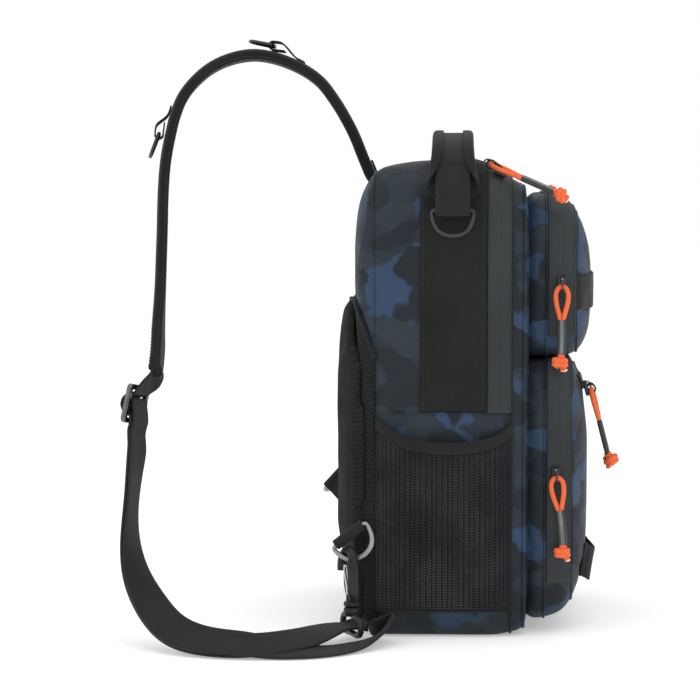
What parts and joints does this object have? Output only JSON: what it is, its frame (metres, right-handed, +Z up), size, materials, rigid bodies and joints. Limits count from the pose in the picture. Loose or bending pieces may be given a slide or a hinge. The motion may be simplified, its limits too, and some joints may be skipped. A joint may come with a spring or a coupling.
{
  "type": "sling bag",
  "caption": "Upright one-strap sling bag with stacked front pockets, mesh side pockets, a grab handle and a padded strap hooked at its lower corner.",
  "frame": {"origin": "middle of the flat base that the bag stands on", "axes": "+Z up, -Y towards the front pockets, +Y towards the wearer's back, -X towards the side that the strap hooks to"},
  "size_m": [0.3253, 0.3681, 0.4365],
  "materials": {
    "camo_cloth": "coated ripstop cloth with a dark blue camouflage print, satin",
    "black_cloth": "black ribbed cloth, matt",
    "zip_tape": "rubber-coated zip tape, smooth and matt",
    "mesh": "black spacer and net mesh",
    "webbing": "woven black webbing",
    "dark_metal": "black-plated metal, satin",
    "grey_metal": "grey-plated metal, satin",
    "steel_wire": "bright spring wire",
    "black_plastic": "moulded black plastic, half gloss",
    "orange_cord": "braided orange cord",
    "sleeve": "dark heat-shrunk sleeve"
  },
  "bodies": {
    "bag": {"main_body": "camo_cloth", "main_front_panel": "camo_cloth", "upper_pocket": "camo_cloth", "lower_pocket": "camo_cloth", "main_zip": "zip_tape", "upper_zip": "zip_tape", "lower_zip": "zip_tape", "front_zip": "zip_tape", "side_panel_near": "black_cloth", "side_panel_far": "black_cloth", "mesh_pocket_near": "mesh", "mesh_pocket_far": "mesh", "pocket_binding_near": "black_cloth", "pocket_binding_far": "black_cloth", "back_pad": "mesh", "upper_webbing": "webbing", "lash_loop_near": "webbing", "lash_loop_far": "webbing", "handle_grip": "black_cloth", "handle_webbing": "webbing", "strap_pad": "black_cloth", "strap_ring_tab_upper": "webbing", "strap_ring_tab_lower": "webbing", "strap_anchor": "webbing", "strap_slider": "black_plastic", "strap_webbing": "webbing", "strap_tab_near": "webbing", "strap_tab_far": "webbing", "corner_ring_near": "grey_metal", "hook_body": "black_plastic", "hook_eye": "black_plastic", "slider_main_near": "dark_metal", "cord_main_near": "orange_cord", "sleeve_main_near": "sleeve", "knot_main_near": "orange_cord", "slider_main_far": "dark_metal", "cord_main_far": "orange_cord", "sleeve_main_far": "sleeve", "knot_main_far": "orange_cord", "slider_upper": "dark_metal", "cord_upper": "orange_cord", "sleeve_upper": "sleeve", "knot_upper": "orange_cord", "slider_lower": "dark_metal", "cord_lower": "orange_cord", "sleeve_lower": "sleeve", "knot_lower": "orange_cord", "slider_front": "dark_metal", "cord_front": "orange_cord", "sleeve_front": "sleeve", "knot_front": "orange_cord"},
    "near_ring": {"side_ring_near": "dark_metal"},
    "far_ring": {"side_ring_far": "dark_metal"},
    "upper_ring": {"strap_ring_upper": "dark_metal"},
    "lower_ring": {"strap_ring_lower": "dark_metal"},
    "corner_ring": {"corner_ring_far": "grey_metal"},
    "gate": {"hook_gate": "steel_wire"}
  },
  "joints": [
    {"name": "near_ring_swing", "type": "hinge", "parent": "bag", "child": "near_ring", "pos_m": [-0.1212, -0.0052, 0.31], "axis": [0, 1, 0], "range_deg": [-11, 150]},
    {"name": "far_ring_swing", "type": "hinge", "parent": "bag", "child": "far_ring", "pos_m": [0.1212, -0.0052, 0.31], "axis": [0, -1, 0], "range_deg": [-11, 150]},
    {"name": "upper_ring_swing", "type": "hinge", "parent": "bag", "child": "upper_ring", "pos_m": [0.00013, 0.13052, 0.43089], "axis": [0.9999, 0.0036, -0.0151], "range_deg": [0, 140]},
    {"name": "lower_ring_swing", "type": "hinge", "parent": "bag", "child": "lower_ring", "pos_m": [-0.00405, 0.2181, 0.36457], "axis": [0.9901, 0.1248, -0.0647], "range_deg": [0, 140]},
    {"name": "corner_ring_swing", "type": "hinge", "parent": "bag", "child": "corner_ring", "pos_m": [0.1026, 0.0879, 0.0902], "axis": [0, -0.6712, 0.7413], "range_deg": [-20, 150]},
    {"name": "gate_open", "type": "hinge", "parent": "bag", "child": "gate", "pos_m": [-0.12318, 0.06813, 0.0296], "axis": [0.5101, -0.8601, 0], "range_deg": [0, 20], "stiffness_Nm_per_rad": 0.01, "springref_deg": -17.19}
  ]
}
